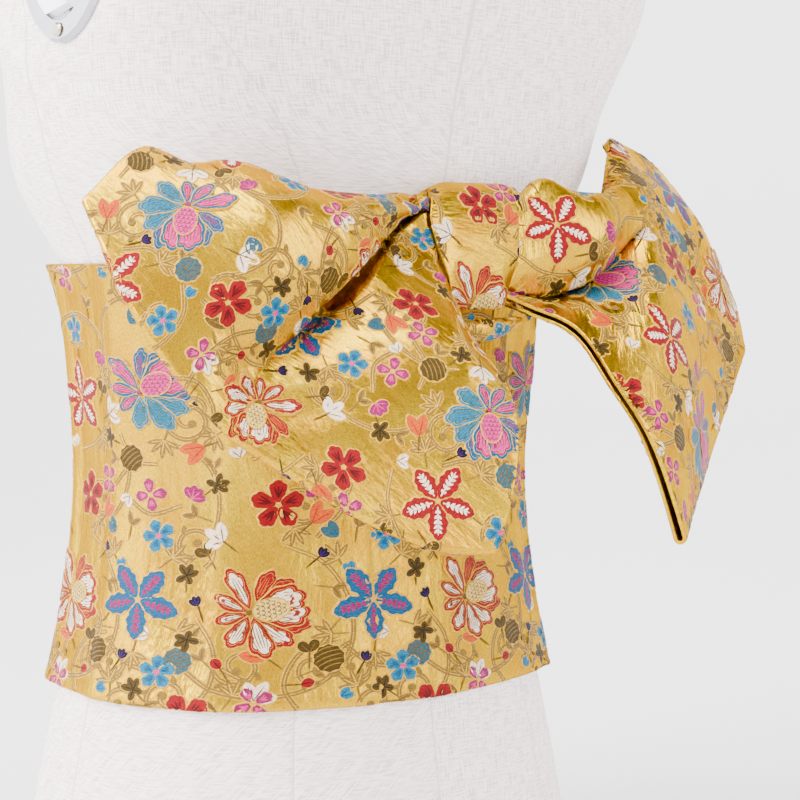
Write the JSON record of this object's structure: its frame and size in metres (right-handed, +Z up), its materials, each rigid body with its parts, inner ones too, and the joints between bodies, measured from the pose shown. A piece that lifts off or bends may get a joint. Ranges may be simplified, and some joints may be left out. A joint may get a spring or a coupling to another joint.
{
  "type": "obi sash on a dress form",
  "caption": "Brocade obi sash, a stiff waist band with a drooping two-winged bow at the back, resting on a limbless linen dress form with metal arm plates.",
  "frame": {"origin": "centre of the dress form's flat base, on its upright axis", "axes": "+Z up through the neck; front of the form faces -Y, its left side is +X and the bow is at +Y"},
  "size_m": [0.3562, 0.3062, 0.6308],
  "materials": {
    "linen": "plain-woven pinkish off-white linen, matt",
    "brocade": "gold satin brocade with woven flowers",
    "chrome": "polished",
    "screw": "plain"
  },
  "bodies": {
    "root": {"form_torso": "linen", "form_neck_cap": "linen", "form_arm_plate_left": "chrome", "form_arm_plate_right": "chrome", "form_screw_left": "screw", "form_screw_right": "screw", "obi_band": "brocade", "bow_wing_left": "brocade", "bow_wing_right": "brocade", "bow_wrap": "brocade", "bow_gather": "brocade", "bow_low_pleat": "brocade"}
  },
  "joints": []
}
